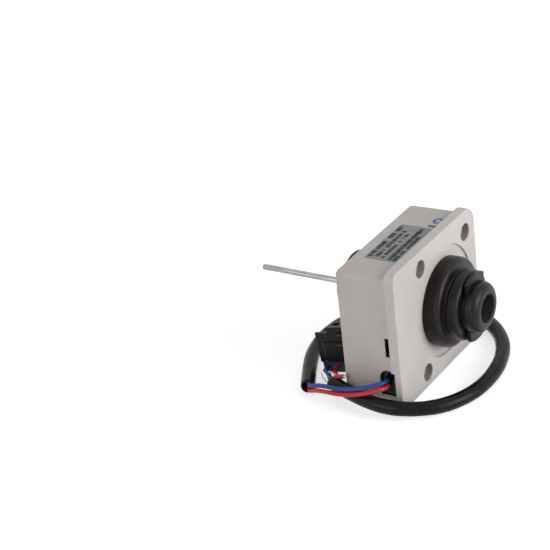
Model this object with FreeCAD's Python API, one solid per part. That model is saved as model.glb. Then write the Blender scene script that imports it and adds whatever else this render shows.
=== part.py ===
import FreeCAD, Part
import math
import os
from FreeCAD import Vector

# Brushless dc fan motor for a refrigerator, with its two-wire harness. Sizes are in millimetres.
# The shaft lies along X with its free end towards -X, +Z is up and -Y is the side the wires leave.
# The origin is on the shaft axis, in the outer face of the rear cover.

# Rear cover
cover_near = 47.85
cover_far = 34.6
cover_top = 36.6
cover_bottom = 35.6
cover_thickness = 5.2
cover_near_corner = 4.5
cover_far_corner = 9.0
cover_edge_round = 0.6
relief_depth = 2.8
relief_inset = 6.5
relief_corner = 4.5
relief_half_height = 18.5
seat_radius = 27.8
seat_depth = 1.0

# Staked corner posts, seen at the bottom of four round pockets
pocket_radius = 4.45
pocket_depth = 3.6
near_post_y = -22.0
near_post_z = 27.95
far_post_y = 24.0
far_post_z = 25.6
post_radius = 4.0
spigot_radius = 2.5
spigot_clearance = 0.05

# Housing
motor_depth = 32.6
wall = 2.0
front_wall = 2.2
near_step = 1.7
side_step = 3.2
bottom_step = 2.4
draft_degrees = 1.0
housing_corner = 3.0
housing_edge_round = 1.8
slot_front = -8.4
slot_rear = -5.8
slot_low = -8.2
slot_high = 1.8
arch_front = -12.6
arch_rear = -3.4
arch_top = -15.6
arch_bottom = -29.2
notch_top = -15.6

# Bearing bosses, the same at both ends
boss_radius = 13.0
boss_length = 8.0
boss_cavity_radius = 10.0
boss_end_wall = 3.4
boss_collar_wall = 1.5
boss_collar_lip = 0.4
shaft_hole_radius = 2.4

# Rubber mounts
mount_gap = 0.05
disc_radius = 22.2
disc_length = 8.0
disc_round = 2.6
collar_radius = 17.4
collar_start = 9.9
collar_end = 15.2
groove_radius = 11.6
ear_radius = 17.3
ear_half_width = 8.4
ear_start = 16.3
ear_end = 18.1
ear_round = 0.5
nose_start = 17.2
nose_radius = 12.8
nose_round = 4.4
mount_length = 23.6
mount_bore = 7.1
mount_wall = 2.4

# Shaft and rotor
shaft_radius = 1.5
shaft_reach = 103.9
shaft_chamfer = 0.3
running_clearance = 0.03
end_play = 0.05
pad_thickness = 1.6
pad_radius = 4.0
magnet_radius = 13.0
magnet_wall = 4.0
magnet_collar_gap = 1.9
magnet_board_gap = 3.0
hub_nose_radius = 3.5
washer_thickness = 0.9
washer_radius = 3.2
washer_bore_clearance = 0.05
clip_radius = 3.2
clip_groove_radius = 1.15
clip_thickness = 0.5
clip_play = 0.05
clip_gap = 1.0
clip_mouth = 1.9

# Bushes, felts and retainers
bush_length = 7.0
bush_radius = 5.5
bush_end_radius = 4.6
felt_clearance = 0.15
felt_length = 3.6
retainer_thickness = 0.5
retainer_hole = 4.2
retainer_slots = 6
retainer_slot_width = 2.0
retainer_slot_height = 2.2
retainer_slot_shift = 0.5

# Stator
air_gap = 0.6
stator_radius = 26.4
yoke_width = 5.2
stack_front_step = 3.0
stack_rear_step = 1.0
tooth_count = 6
tooth_width = 4.6
shoe_width = 9.5
shoe_thickness = 1.4
insulator_thickness = 0.8
insulator_rim_inner = 20.5
insulator_rim_outer = 22.2
insulator_notch = 2.8
winding_thickness = 2.3
coil_gap = 0.05
coil_inner = 15.6
coil_outer = 19.7
screw_circle = 23.8
screw_radius = 1.3
screw_head_radius = 2.3
screw_head_height = 1.6
screw_tip_gap = 0.5
recess_depth = 0.8
recess_half_length = 1.4
recess_half_width = 0.3
screw_hole_clearance = 0.1
screw_depth = 4.5
stator_post_radius = 2.6
board_stub_radius = 1.0
board_stub_angles = (110.0, 180.0, 250.0)

# Circuit board
board_thickness = 1.6
board_front = -8.0
board_near = -41.2
board_far = 12.0
board_half_height = 22.0
board_tab_far = -29.5
board_tab_bottom = -28.0
board_hole = 7.0
board_pegs = [(-38.5, 18.5), (-31.5, -18.5)]
board_peg_radius = 2.2
board_pin_radius = 1.0
board_pin_clearance = 0.05
chip_size = (1.8, 6.0, 9.0)
chip_place = (-34.5, 9.5)
chip_stand = 0.2
leg_pitch = 2.0
leg_reach = 1.1
leg_overlap = 0.2
leg_thickness = 0.25
leg_half_width = 0.3
hall_size = (1.4, 3.0, 4.0)
capacitor_radius = 4.0
capacitor_length = 11.5
capacitor_place = (-34.0, -4.5)
capacitor_round = 0.6
bead_depth = 0.35
bead_high = 1.8
bead_low = 2.6
resistor_radius = 1.2
resistor_length = 6.4
resistor_lift = 2.2
lead_radius = 0.35
lead_bend = 0.8
resistor_round = 0.4
resistor_pitch = 10.0
resistor_y = -23.0
upper_resistor_z = 17.5
lower_resistor_z = -17.5
header_size = (7.0, 4.6, 8.0)
header_place = (-36.45, -22.0)
header_hole_room = 0.3
header_hole_depth = 0.6

# Label
label_front_margin = 6.8
label_rear_margin = 3.8
label_near = -29.2
label_far = 8.1
label_thickness = 0.12
label_corner = 0.8

# Harness
wire_radius = 1.1
sleeve_radius = 3.6
sleeve_wall = 0.85
wire_rise = 1.3
mouth_lead_in = 2.4
tail_lead_out = 3.0

# Connector, standing on its cap in front of the housing and leaning on its wires
connector_foot = (-54.32, -30.7)
connector_lift = 0.6
connector_turn = 2.0
connector_lean = 11.0
connector_tilt = 5.0
connector_width = 16.6
connector_depth = 8.6
connector_height = 15.3
flange_depth = 1.5
body_start = 3.6
cap_height = 5.7
cap_inset = 0.5
tower_start = 7.0
tower_height = 2.8
tower_depth = 10.4
tower_overlap = 3.0
connector_round = 0.4
cap_round = 0.6
latch_start = 4.3
latch_end = 15.4
latch_top = 4.8
latch_height = 7.2
latch_stand = 0.9
rib_start = 12.8
rib_height = 0.9
terminal_pitch = 5.2
mouth_half_width = 1.9
mouth_half_depth = 1.6
mouth_height = 1.0
wire_approach = 4.0
wire_hole_room = 0.1
blue_across = 3.4
tab_offset = 2.2
tab_width = 2.4
tab_thickness = 0.8
tab_length = 10.0
barrel_radius = 1.35
barrel_length = 3.4
barrel_start = 3.0
fit_gap = 0.05

# Worked out from the sizes above
floor_level = -cover_bottom
housing_rear = -cover_thickness
housing_near = cover_near - near_step
housing_far = cover_far - side_step
housing_top = cover_top - side_step
housing_bottom = cover_bottom - bottom_step
front_face = -motor_depth
inner_front = front_face + front_wall
pocket_floor = -pocket_depth
rear_seat = -seat_depth
front_seat = front_face + seat_depth
rear_boss_end = rear_seat + boss_length
front_boss_end = front_seat - boss_length
rear_bush_stop = rear_boss_end - boss_end_wall
front_bush_stop = front_boss_end + boss_end_wall
shaft_rear = rear_bush_stop - end_play
rear_bush_face = rear_bush_stop - bush_length
front_bush_face = front_bush_stop + bush_length
boss_collar_end = front_bush_face + retainer_thickness + boss_collar_lip
magnet_front = boss_collar_end + magnet_collar_gap
magnet_rear = board_front - magnet_board_gap
hub_radius = magnet_radius - magnet_wall
stack_front = magnet_front + stack_front_step
stack_rear = magnet_rear - stack_rear_step
tooth_inner = magnet_radius + air_gap
yoke_inner = stator_radius - yoke_width
board_rear = board_front + board_thickness
clip_front = front_boss_end - clip_gap
label_front = front_face + label_front_margin
label_rear = housing_rear - label_rear_margin

# The sleeve's route, each point with its height above where the sleeve lies flat on the floor
sleeve_route = [
    (-50.7, -51.0, 1.0),
    (-59.2, -36.0, 0.2),
    (-67.5, -18.0, 0.0),
    (-69.8, 3.0, 0.0),
    (-63.5, 23.5, 0.0),
    (-47.5, 38.5, 0.0),
    (-26.5, 46.5, 0.0),
    (-5.5, 44.5, 0.0),
    (12.0, 32.0, 0.0),
    (22.5, 14.5, 0.0),
    (27.0, -6.0, 0.0),
    (25.6, -26.5, 0.0),
    (16.2, -45.0, 0.6),
    (-1.5, -56.2, 2.3),
    (-21.0, -55.0, 3.8),
    (-38.4, -48.0, 4.4),
]

# Where each wire runs from the board to the sleeve's mouth, and from its tail to the connector
blue_start = [(-10.1, -38.75, -20.5), (-9.6, -42.6, -20.5), (-7.9, -47.6, -20.5), (-9.8, -52.8, -20.0)]
blue_start += [(-17.0, -57.2, -21.4), (-27.2, -59.3, -22.8), (-35.6, -57.3, -24.1), (-42.8, -54.0, -25.2)]
red_start = [(-10.1, -38.75, -23.5), (-9.4, -42.6, -23.5), (-7.3, -47.8, -23.2), (-8.8, -53.4, -22.2)]
red_start += [(-16.2, -58.2, -23.6), (-27.0, -60.0, -25.2), (-37.1, -58.2, -26.6), (-44.4, -55.4, -29.1)]
blue_tail = [(-44.6, -41.2, -29.0), (-48.4, -36.8, -30.6)]
red_tail = [(-42.2, -41.6, -30.4), (-42.0, -37.0, -31.4)]


def cylinder(radius, x_low, x_high, y=0.0, z=0.0):
    return Part.makeCylinder(radius, x_high - x_low, Vector(x_low, y, z), Vector(1, 0, 0))


def ring(outer, inner, x_low, x_high, y=0.0, z=0.0):
    return cylinder(outer, x_low, x_high, y, z).cut(cylinder(inner, x_low - 1, x_high + 1, y, z))


def block(x_low, x_high, y_low, y_high, z_low, z_high):
    size = (x_high - x_low, y_high - y_low, z_high - z_low)
    return Part.makeBox(*size, Vector(x_low, y_low, z_low))


def rounded_path(points, radii, closed=False):
    """Straight runs joined by tangent arcs: each corner is cut back by radius times tan(half its turn)."""
    count = len(points)
    corners = []
    for index in range(count):
        point = points[index]
        radius = radii[index]
        if radius == 0 or (not closed and index in (0, count - 1)):
            corners.append([point])
            continue
        back = (points[index - 1] - point).normalize()
        ahead = (points[(index + 1) % count] - point).normalize()
        half_turn = (math.pi - back.getAngle(ahead)) / 2
        cut = radius * math.tan(half_turn)
        middle = (back + ahead).normalize()
        reach = radius / math.cos(half_turn) - radius
        corners.append([point + back * cut, point + middle * reach, point + ahead * cut])
    edges = []
    for index in range(count):
        corner = corners[index]
        if len(corner) == 3:
            edges.append(Part.Arc(*corner).toShape())
        if index < count - 1 or closed:
            start = corner[-1]
            end = corners[(index + 1) % count][0]
            if start.distanceToPoint(end) > 1e-6:
                edges.append(Part.LineSegment(start, end).toShape())
    return Part.Wire(edges)


def turned(profile):
    """A solid turned about the shaft axis from (x, radius, corner round) points."""
    points = [Vector(x, 0, radius) for x, radius, _ in profile]
    face = Part.Face(rounded_path(points, [corner for _, _, corner in profile], closed=True))
    return face.revolve(Vector(0, 0, 0), Vector(1, 0, 0), 360)


def rounded_rectangle(x, y_low, y_high, z_low, z_high, near_radius, far_radius):
    corners = [(y_low, z_low), (y_high, z_low), (y_high, z_high), (y_low, z_high)]
    points = [Vector(x, y, z) for y, z in corners]
    return rounded_path(points, [near_radius, far_radius, far_radius, near_radius], closed=True)


def slab(x_low, x_high, y_low, y_high, z_low, z_high, near_radius, far_radius):
    outline = rounded_rectangle(x_low, y_low, y_high, z_low, z_high, near_radius, far_radius)
    return Part.Face(outline).extrude(Vector(x_high - x_low, 0, 0))


def tapered_box(x_front, x_rear, inset, corner):
    """The housing's outline at its rear, drawn in by the inset, and by the draft towards the front."""
    sections = []
    for x in (x_rear, x_front):
        drawn_in = inset + (housing_rear - x) * math.tan(math.radians(draft_degrees))
        low_y = drawn_in - housing_near
        high_y = housing_far - drawn_in
        low_z = drawn_in - housing_bottom
        high_z = housing_top - drawn_in
        sections.append(rounded_rectangle(x, low_y, high_y, low_z, high_z, corner, corner))
    return Part.makeLoft(sections, True, True)


def edges_at(shape, x):
    """The edges that lie wholly in the plane at x."""
    boxes = [(edge, edge.BoundBox) for edge in shape.Edges]
    return [edge for edge, box in boxes if abs(box.XMin - x) < 1e-4 and abs(box.XMax - x) < 1e-4]


def post_places():
    places = []
    for y, z in ((near_post_y, near_post_z), (far_post_y, far_post_z)):
        places += [(y, z), (y, -z)]
    return places


def around(radius, count, first=0.0):
    """Places evenly spaced on a circle about the shaft axis, with their angles."""
    places = []
    for index in range(count):
        angle = first + 360.0 * index / count
        radians = math.radians(angle)
        places.append((radius * math.cos(radians), radius * math.sin(radians), angle))
    return places


def about_axis(shape, angle):
    placed = shape.copy()
    placed.rotate(Vector(0, 0, 0), Vector(1, 0, 0), angle)
    return placed


def screw_places():
    return around(screw_circle, 3, 180.0 / tooth_count)


def rear_cover():
    outline = (-cover_near, cover_far, -cover_bottom, cover_top, cover_near_corner, cover_far_corner)
    cover = slab(-cover_thickness, 0, *outline)
    cover = cover.makeFillet(cover_edge_round, edges_at(cover, 0))
    relief_near = relief_inset - cover_near
    relief_far = cover_far - relief_inset
    relief = slab(
        -cover_thickness - 1,
        relief_depth - cover_thickness,
        relief_near,
        relief_far,
        -relief_half_height,
        relief_half_height,
        relief_corner,
        relief_corner,
    )
    cover = cover.cut(relief)
    cover = cover.cut(cylinder(seat_radius, rear_seat, 1))
    cover = cover.fuse(cylinder(boss_radius, -cover_thickness, rear_boss_end))
    cover = cover.cut(cylinder(boss_cavity_radius, -cover_thickness - 1, rear_bush_stop))
    cover = cover.cut(cylinder(pad_radius, rear_bush_stop - 1, rear_bush_stop + pad_thickness))
    for y, z in post_places():
        cover = cover.cut(cylinder(pocket_radius, pocket_floor, 1, y, z))
        cover = cover.cut(cylinder(spigot_radius + spigot_clearance, -cover_thickness - 1, 0, y, z))
    notch = block(-cover_thickness - 1, arch_rear, -cover_near - 1, relief_near + 1, arch_bottom, notch_top)
    return cover.cut(notch).removeSplitter()


def housing():
    body = tapered_box(front_face, housing_rear, 0, housing_corner)
    body = body.makeFillet(housing_edge_round, edges_at(body, front_face))
    body = body.cut(tapered_box(inner_front, housing_rear + 1, wall, housing_corner - wall))
    body = body.cut(cylinder(seat_radius, front_face - 1, front_seat))
    seat_back = inner_front + seat_depth
    body = body.fuse(ring(seat_radius + wall, boss_cavity_radius, front_seat, seat_back))
    body = body.fuse(cylinder(boss_radius, front_boss_end, seat_back))
    body = body.fuse(cylinder(boss_cavity_radius + boss_collar_wall, seat_back - 1, boss_collar_end))
    body = body.cut(cylinder(boss_cavity_radius, front_bush_stop, boss_collar_end + 1))
    body = body.cut(cylinder(shaft_hole_radius, front_boss_end - 1, front_bush_stop + 1))
    for y, z in post_places():
        body = body.fuse(cylinder(post_radius, inner_front - 0.5, housing_rear, y, z))
        body = body.fuse(cylinder(spigot_radius, housing_rear - 1, pocket_floor, y, z))
    for y, z, _ in screw_places():
        body = body.fuse(cylinder(stator_post_radius, inner_front - 0.5, stack_front, y, z))
        body = body.cut(cylinder(screw_radius, stack_front - screw_depth, stack_front, y, z))
    for y, z in board_pegs:
        body = body.fuse(cylinder(board_peg_radius, inner_front - 0.5, board_front, y, z))
        body = body.fuse(cylinder(board_pin_radius, board_front - 1, board_rear + 0.6, y, z))
    outside = -cover_near
    inside = 2 * wall - housing_near
    body = body.cut(block(slot_front, slot_rear, outside, inside, slot_low, slot_high))
    arch_radius = (arch_rear - arch_front) / 2
    arch_middle = (arch_rear + arch_front) / 2
    arch_centre = Vector(arch_middle, outside, arch_top - arch_radius)
    arch = Part.makeCylinder(arch_radius, inside - outside, arch_centre, Vector(0, 1, 0))
    arch = arch.fuse(block(arch_front, arch_rear, outside, inside, arch_bottom, arch_top - arch_radius))
    return body.cut(arch).removeSplitter()


def rubber_mount():
    """The moulding, with x counted outwards from the seat that it stands on."""
    cavity = boss_radius + mount_gap
    body = turned(
        [
            (0, cavity, 0),
            (0, disc_radius, 0.4),
            (disc_length, disc_radius, disc_round),
            (collar_start - 0.9, collar_radius - 1.2, 0.5),
            (collar_start, collar_radius, 1.2),
            (collar_end, collar_radius, 1.8),
            (collar_end + 0.4, groove_radius, 0.5),
            (nose_start - 0.2, groove_radius, 0.5),
            (nose_start, nose_radius, 0.4),
            (mount_length, nose_radius, nose_round),
            (mount_length, mount_bore, 0.4),
            (boss_length + mount_wall, mount_bore, 0),
            (boss_length + mount_wall, mount_bore + 1.5, 0),
            (boss_length, cavity, 0),
        ]
    )
    ears = ring(ear_radius, (mount_bore + groove_radius) / 2, ear_start, ear_end)
    reach = ear_radius + 1
    ears = ears.common(block(ear_start, ear_end, -ear_half_width, ear_half_width, -reach, reach))
    rims = [edge for edge in ears.Edges if edge.BoundBox.YLength > ear_half_width]
    rims = [edge for edge in rims if edge.distToShape(shaft_line())[0] > nose_radius]
    return body.fuse(ears.makeFillet(ear_round, rims)).removeSplitter()


def shaft_line():
    return Part.makeLine(Vector(-shaft_reach, 0, 0), Vector(shaft_reach, 0, 0))


def facing_forward(shape, seat):
    """The moulding turned round to point towards -X and stood on the front seat."""
    placed = shape.mirror(Vector(0, 0, 0), Vector(1, 0, 0))
    placed.translate(Vector(seat, 0, 0))
    return placed


def bush(face, stop):
    """A sintered bush, barrel shaped outside, from its inner face to its stop."""
    step = (stop - face) / 4
    bore = shaft_radius + running_clearance
    body = turned(
        [
            (face, bore, 0),
            (face, bush_end_radius, 0),
            (face + step, bush_radius, 0),
            (face + 3 * step, bush_radius, 0),
            (stop, bush_end_radius, 0),
            (stop, bore, 0),
        ]
    )
    return body


def oil_felt(stop, inward):
    low, high = sorted((stop + inward * 0.1, stop + inward * (felt_length + 0.1)))
    return ring(boss_cavity_radius - felt_clearance, bush_radius + felt_clearance, low, high)


def bush_retainer(face, inward):
    """A sprung steel disc, pressed into the boss cavity against the bush's inner face."""
    low, high = sorted((face, face + inward * retainer_thickness))
    disc = ring(boss_cavity_radius, retainer_hole, low, high)
    slot_circle = (boss_cavity_radius + bush_radius) / 2 + retainer_slot_shift
    half_width = retainer_slot_width / 2
    half_height = retainer_slot_height / 2
    for y, z, angle in around(slot_circle, retainer_slots):
        window = block(low - 1, high + 1, -half_width, half_width, -half_height, half_height)
        window.rotate(Vector(0, 0, 0), Vector(1, 0, 0), angle)
        window.translate(Vector(0, y, z))
        disc = disc.cut(window)
    return disc


def shaft():
    body = cylinder(shaft_radius, -shaft_reach, shaft_rear)
    body = body.makeChamfer(shaft_chamfer, edges_at(body, -shaft_reach) + edges_at(body, shaft_rear))
    groove_rear = clip_front + clip_play
    groove_front = clip_front - clip_thickness - clip_play
    return body.cut(ring(shaft_radius + 1, clip_groove_radius, groove_front, groove_rear))


def shaft_clip():
    """An open retaining ring in the shaft's groove."""
    clip = ring(clip_radius, clip_groove_radius, clip_front - clip_thickness, clip_front)
    half_mouth = clip_mouth / 2
    return clip.cut(block(clip_front - 2, clip_front + 1, -half_mouth, half_mouth, -clip_radius - 1, 0))


def rotor_hub():
    front_nose = front_bush_face + end_play + washer_thickness
    rear_nose = rear_bush_face - end_play - washer_thickness
    hub = cylinder(hub_radius, magnet_front, magnet_rear)
    hub = hub.fuse(cylinder(hub_nose_radius, front_nose, rear_nose))
    return hub.cut(cylinder(shaft_radius, front_nose - 1, rear_nose + 1)).removeSplitter()


def thrust_washer(x_low):
    return ring(washer_radius, shaft_radius + washer_bore_clearance, x_low, x_low + washer_thickness)


def stator_outline(x_low, x_high, grow, yoke_outer, yoke_low):
    """The yoke ring with its teeth and shoes, each face drawn out by grow."""
    body = ring(yoke_outer, yoke_low, x_low, x_high)
    half_tooth = tooth_width / 2 + grow
    half_shoe = shoe_width / 2
    tooth = block(x_low, x_high, tooth_inner - 1, yoke_low + 0.5, -half_tooth, half_tooth)
    shoe = block(x_low, x_high, tooth_inner - 1, tooth_inner + shoe_thickness + 0.5, -half_shoe, half_shoe)
    for _, _, angle in around(1, tooth_count):
        body = body.fuse(about_axis(tooth, angle)).fuse(about_axis(shoe, angle))
    return body.cut(cylinder(tooth_inner, x_low - 1, x_high + 1)).removeSplitter()


def stator_core():
    core = stator_outline(stack_front, stack_rear, 0, stator_radius, yoke_inner)
    for y, z, _ in screw_places():
        core = core.cut(cylinder(screw_radius + screw_hole_clearance, stack_front - 1, stack_rear + 1, y, z))
    return core


def insulator(x_low, x_high):
    body = stator_outline(x_low, x_high, insulator_thickness / 2, insulator_rim_outer, insulator_rim_inner)
    for y, z, _ in screw_places():
        body = body.cut(cylinder(insulator_notch, x_low - 1, x_high + 1, y, z))
    return body


def rear_insulator():
    """The rear end moulding, with three stubs that the circuit board rests on."""
    body = insulator(stack_rear, stack_rear + insulator_thickness)
    rim_middle = (insulator_rim_inner + insulator_rim_outer) / 2
    for angle in board_stub_angles:
        y, z, _ = around(rim_middle, 1, angle)[0]
        body = body.fuse(cylinder(board_stub_radius, stack_rear, board_front, y, z))
    return body.removeSplitter()


def coil(angle):
    half_slot = tooth_width / 2 + insulator_thickness / 2 + coil_gap
    low = stack_front - insulator_thickness - coil_gap
    high = stack_rear + insulator_thickness + coil_gap
    around_tooth = winding_thickness + half_slot
    front = low - winding_thickness
    rear = high + winding_thickness
    winding = block(front, rear, coil_inner, coil_outer, -around_tooth, around_tooth)
    corner_edges = [edge for edge in winding.Edges if edge.BoundBox.YLength > 1]
    winding = winding.makeFillet(winding_thickness * 0.8, corner_edges)
    winding = winding.cut(block(low, high, coil_inner - 1, coil_outer + 1, -half_slot, half_slot))
    return about_axis(winding, angle)


def stator_screws():
    screws = []
    for y, z, _ in screw_places():
        screw = cylinder(screw_radius, stack_front - screw_depth + screw_tip_gap, stack_rear + 0.2, y, z)
        head = cylinder(screw_head_radius, stack_rear, stack_rear + screw_head_height, y, z)
        low = stack_rear + screw_head_height - recess_depth
        near, wide = recess_half_width, recess_half_length
        recess = block(low, 0, y - near, y + near, z - wide, z + wide)
        cross = block(low, 0, y - wide, y + wide, z - near, z + near)
        screws.append(screw.fuse(head).cut(recess).cut(cross).removeSplitter())
    return Part.makeCompound(screws)


def circuit_board():
    board = block(board_front, board_rear, board_near, board_far, -board_half_height, board_half_height)
    tab = block(board_front, board_rear, board_near, board_tab_far, board_tab_bottom, 0)
    board = board.fuse(tab).removeSplitter()
    board = board.cut(cylinder(board_hole, board_front - 1, board_rear + 1))
    pin_hole = board_pin_radius + board_pin_clearance
    for y, z in board_pegs:
        board = board.cut(cylinder(pin_hole, board_front - 1, board_rear + 1, y, z))
    return board


def on_board(size, place):
    """A block that stands on the board's front face, centred at (y, z)."""
    height, width_y, width_z = size
    low_y = place[0] - width_y / 2
    low_z = place[1] - width_z / 2
    return block(board_front - height, board_front, low_y, low_y + width_y, low_z, low_z + width_z)


def driver_chip():
    chip = on_board(chip_size, chip_place)
    chip.translate(Vector(-chip_stand, 0, 0))
    y, z = chip_place
    height, width_y, width_z = chip_size
    for index in range(4):
        leg_z = z + (index - 1.5) * leg_pitch
        leg_low = leg_z - leg_half_width
        leg_high = leg_z + leg_half_width
        for side in (-1, 1):
            inner = y + side * (width_y / 2 - leg_overlap)
            outer = y + side * (width_y / 2 + leg_reach)
            low, high = sorted((inner, outer))
            middle = board_front - height / 2
            leg = block(middle, middle + leg_thickness, low, high, leg_low, leg_high)
            low, high = sorted((outer, outer - side * leg_thickness))
            foot = block(middle, board_front, low, high, leg_low, leg_high)
            chip = chip.fuse(leg).fuse(foot)
    return chip.removeSplitter()


def filter_capacitor():
    y, z = capacitor_place
    can = cylinder(capacitor_radius, board_front - capacitor_length, board_front, y, z)
    can = can.makeFillet(capacitor_round, edges_at(can, board_front - capacitor_length))
    bead_radius = capacitor_radius - bead_depth
    front, rear = board_front - bead_low, board_front - bead_high
    return can.cut(ring(capacitor_radius + 1, bead_radius, front, rear, y, z))


def resistor(z):
    """An axial resistor lying along Y, on its two bent leads."""
    half = resistor_length / 2
    centre_x = board_front - resistor_lift
    near_end = Vector(centre_x, resistor_y - half, z)
    body = Part.makeCylinder(resistor_radius, resistor_length, near_end, Vector(0, 1, 0))
    body = body.makeFillet(resistor_round, [edge for edge in body.Edges if edge.BoundBox.YLength < 1e-6])
    reach = resistor_pitch / 2
    points = [
        Vector(board_front, resistor_y - reach, z),
        Vector(centre_x, resistor_y - reach, z),
        Vector(centre_x, resistor_y + reach, z),
        Vector(board_front, resistor_y + reach, z),
    ]
    lead = swept(rounded_path(points, [0, lead_bend, lead_bend, 0]), lead_radius, Vector(-1, 0, 0))
    return body.fuse(lead).removeSplitter()


def wire_header():
    """The header that holds both wires, with a hole for each in its near face."""
    header = on_board(header_size, header_place)
    hole_radius = wire_radius + header_hole_room
    for start in (blue_start[0], red_start[0]):
        hole = Part.makeCylinder(hole_radius, header_hole_depth, Vector(*start), Vector(0, 1, 0))
        header = header.cut(hole)
    return header


def label():
    """The sticker, lying on the housing's drafted top face."""
    label_top = housing_top + label_thickness
    sticker = block(label_front, label_rear, label_near, label_far, housing_top, label_top)
    upright = [edge for edge in sticker.Edges if edge.BoundBox.ZLength > label_thickness / 2]
    sticker = sticker.makeFillet(label_corner, upright)
    sticker.rotate(Vector(housing_rear, 0, housing_top), Vector(0, 1, 0), -draft_degrees)
    return sticker


def swept(path, radius, direction):
    """A round rod carried along a path that starts in the given direction."""
    start = path.OrderedVertexes[0].Point
    outline = Part.Wire(Part.makeCircle(radius, start, direction))
    return path.makePipeShell([outline], True, False)


def cord_arcs(name, route):
    """The radius of each corner's arc: 0.45 of the shorter run, over the tangent of half the turn."""
    radii = [0.0]
    for index in range(1, len(route) - 1):
        back = route[index - 1] - route[index]
        ahead = route[index + 1] - route[index]
        half_turn = (math.pi - back.getAngle(ahead)) / 2
        radii.append(0.45 * min(back.Length, ahead.Length) / math.tan(half_turn))
    radii.append(0.0)
    print(name, "arc radii", [round(radius, 1) for radius in radii[1:-1]])
    return radii


def cord(name, route, radius, bore=0.0):
    path = rounded_path(route, cord_arcs(name, route))
    tube = swept(path, radius, route[1] - route[0])
    section = math.pi * (radius**2 - bore**2)
    if bore:
        tube = tube.cut(swept(path, bore, route[1] - route[0]))
    ratio = tube.Volume / (section * path.Length)
    print(name, "length", round(path.Length, 1), "volume ratio", round(ratio, 4))
    return tube


def sleeve_points(rise=0.0):
    rest = floor_level + sleeve_radius + rise
    return [Vector(x, y, rest + lift) for x, y, lift in sleeve_route]


def beyond(end, neighbour, distance):
    """A point on the line from the neighbour through the end, that far past the end."""
    return end + (end - neighbour).normalize() * distance


def wire_route(start, rise, tail):
    inside = sleeve_points(rise)
    mouth = beyond(inside[0], inside[1], mouth_lead_in)
    outlet = beyond(inside[-1], inside[-2], tail_lead_out)
    return [Vector(*point) for point in start] + [mouth] + inside[1:-1] + [outlet] + tail


def connector_place():
    """The connector's own frame: X across its front, Y into its depth and Z up from its foot."""
    turn = FreeCAD.Rotation(Vector(0, 0, 1), connector_turn)
    lean = FreeCAD.Rotation(Vector(0, 1, 0), -connector_lean)
    tilt = FreeCAD.Rotation(Vector(1, 0, 0), -connector_tilt)
    foot = Vector(connector_foot[0], connector_foot[1], floor_level + connector_lift)
    return FreeCAD.Placement(foot, turn.multiply(lean).multiply(tilt))


def at_connector(shape):
    shape.Placement = connector_place()
    return shape


def terminals_across():
    return (blue_across, blue_across + terminal_pitch)


def tab_space(across, gap, low, high):
    """The upright bar that a terminal's tab fills, grown by a gap, from low to high."""
    middle = across + tab_offset
    half_wide = tab_width / 2 + gap
    half_thick = tab_thickness / 2 + gap
    deep = connector_depth / 2
    return block(middle - half_wide, middle + half_wide, deep - half_thick, deep + half_thick, low, high)


def connector_housing():
    base = cap_height
    top = base + connector_height
    flange = block(0, connector_width, 0, flange_depth, base, top)
    body = block(body_start, connector_width, 0, connector_depth, base, top)
    tower = block(tower_start, connector_width, 0, tower_depth, top - tower_overlap, top + tower_height)
    body = body.fuse([flange, tower]).removeSplitter()
    body = body.makeFillet(connector_round, [edge for edge in body.Edges if edge.BoundBox.ZLength > 2])
    latch_low = top - latch_top - latch_height
    latch = block(latch_start, latch_end, -latch_stand, 0.5, latch_low, top - latch_top)
    rib = block(rib_start, latch_end, -latch_stand, 0.5, top - rib_height, top)
    body = body.fuse([latch, rib]).removeSplitter()
    for across in terminals_across():
        body = body.cut(tab_space(across, fit_gap, base - 1, top + tower_height + 1))
        middle = across + tab_offset
        deep = connector_depth / 2
        mouth_low = deep - mouth_half_depth
        mouth_high = deep + mouth_half_depth
        left = middle - mouth_half_width
        right = middle + mouth_half_width
        opening = block(left, right, mouth_low, mouth_high, top - mouth_height, top + tower_height + 1)
        body = body.cut(opening)
    return at_connector(body)


def connector_cap():
    """The cap under the plug, with a hole in its front for each wire and a channel for its terminal."""
    right = connector_width - cap_inset
    back = connector_depth - cap_inset
    body = block(cap_inset, right, cap_inset, back, 0, cap_height)
    body = body.makeFillet(cap_round, [edge for edge in body.Edges if edge.BoundBox.ZLength > 3])
    middle = cap_height / 2
    for across in terminals_across():
        hole_radius = wire_radius + wire_hole_room
        wire_hole = Part.makeCylinder(hole_radius, barrel_start, Vector(across, 0, middle), Vector(0, 1, 0))
        start = Vector(across, barrel_start - fit_gap, middle)
        length = barrel_length + 2 * fit_gap
        barrel = Part.makeCylinder(barrel_radius + fit_gap, length, start, Vector(0, 1, 0))
        neck = tab_space(across - tab_offset / 2, fit_gap, middle - fit_gap, middle + barrel_radius)
        body = body.cut(wire_hole).cut(barrel).cut(neck)
        body = body.cut(tab_space(across, fit_gap, middle, cap_height + 1))
    return at_connector(body)


def terminal(across):
    """A flag terminal: a barrel that grips the wire, and a tab beside it that stands up into the plug."""
    middle = cap_height / 2
    start = Vector(across, barrel_start, middle)
    barrel = Part.makeCylinder(barrel_radius, barrel_length, start, Vector(0, 1, 0))
    neck = tab_space(across - tab_offset / 2, 0, middle, middle + barrel_radius - fit_gap)
    tab = tab_space(across, 0, middle, cap_height + tab_length)
    return at_connector(barrel.fuse([neck, tab]).removeSplitter())


def wire_end(across, tail):
    """The wire's last points, ending against its terminal's barrel inside the cap."""
    place = connector_place()
    ends = [place.multVec(Vector(across, deep, cap_height / 2)) for deep in (-wire_approach, barrel_start)]
    return [Vector(*point) for point in tail] + ends


def save(name, shape):
    if not shape.isValid():
        print(name, "is not valid")
    print(name, "solids", len(shape.Solids), "volume", round(shape.Volume, 1))
    shape.exportStep("parts/" + name + ".step")


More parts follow.
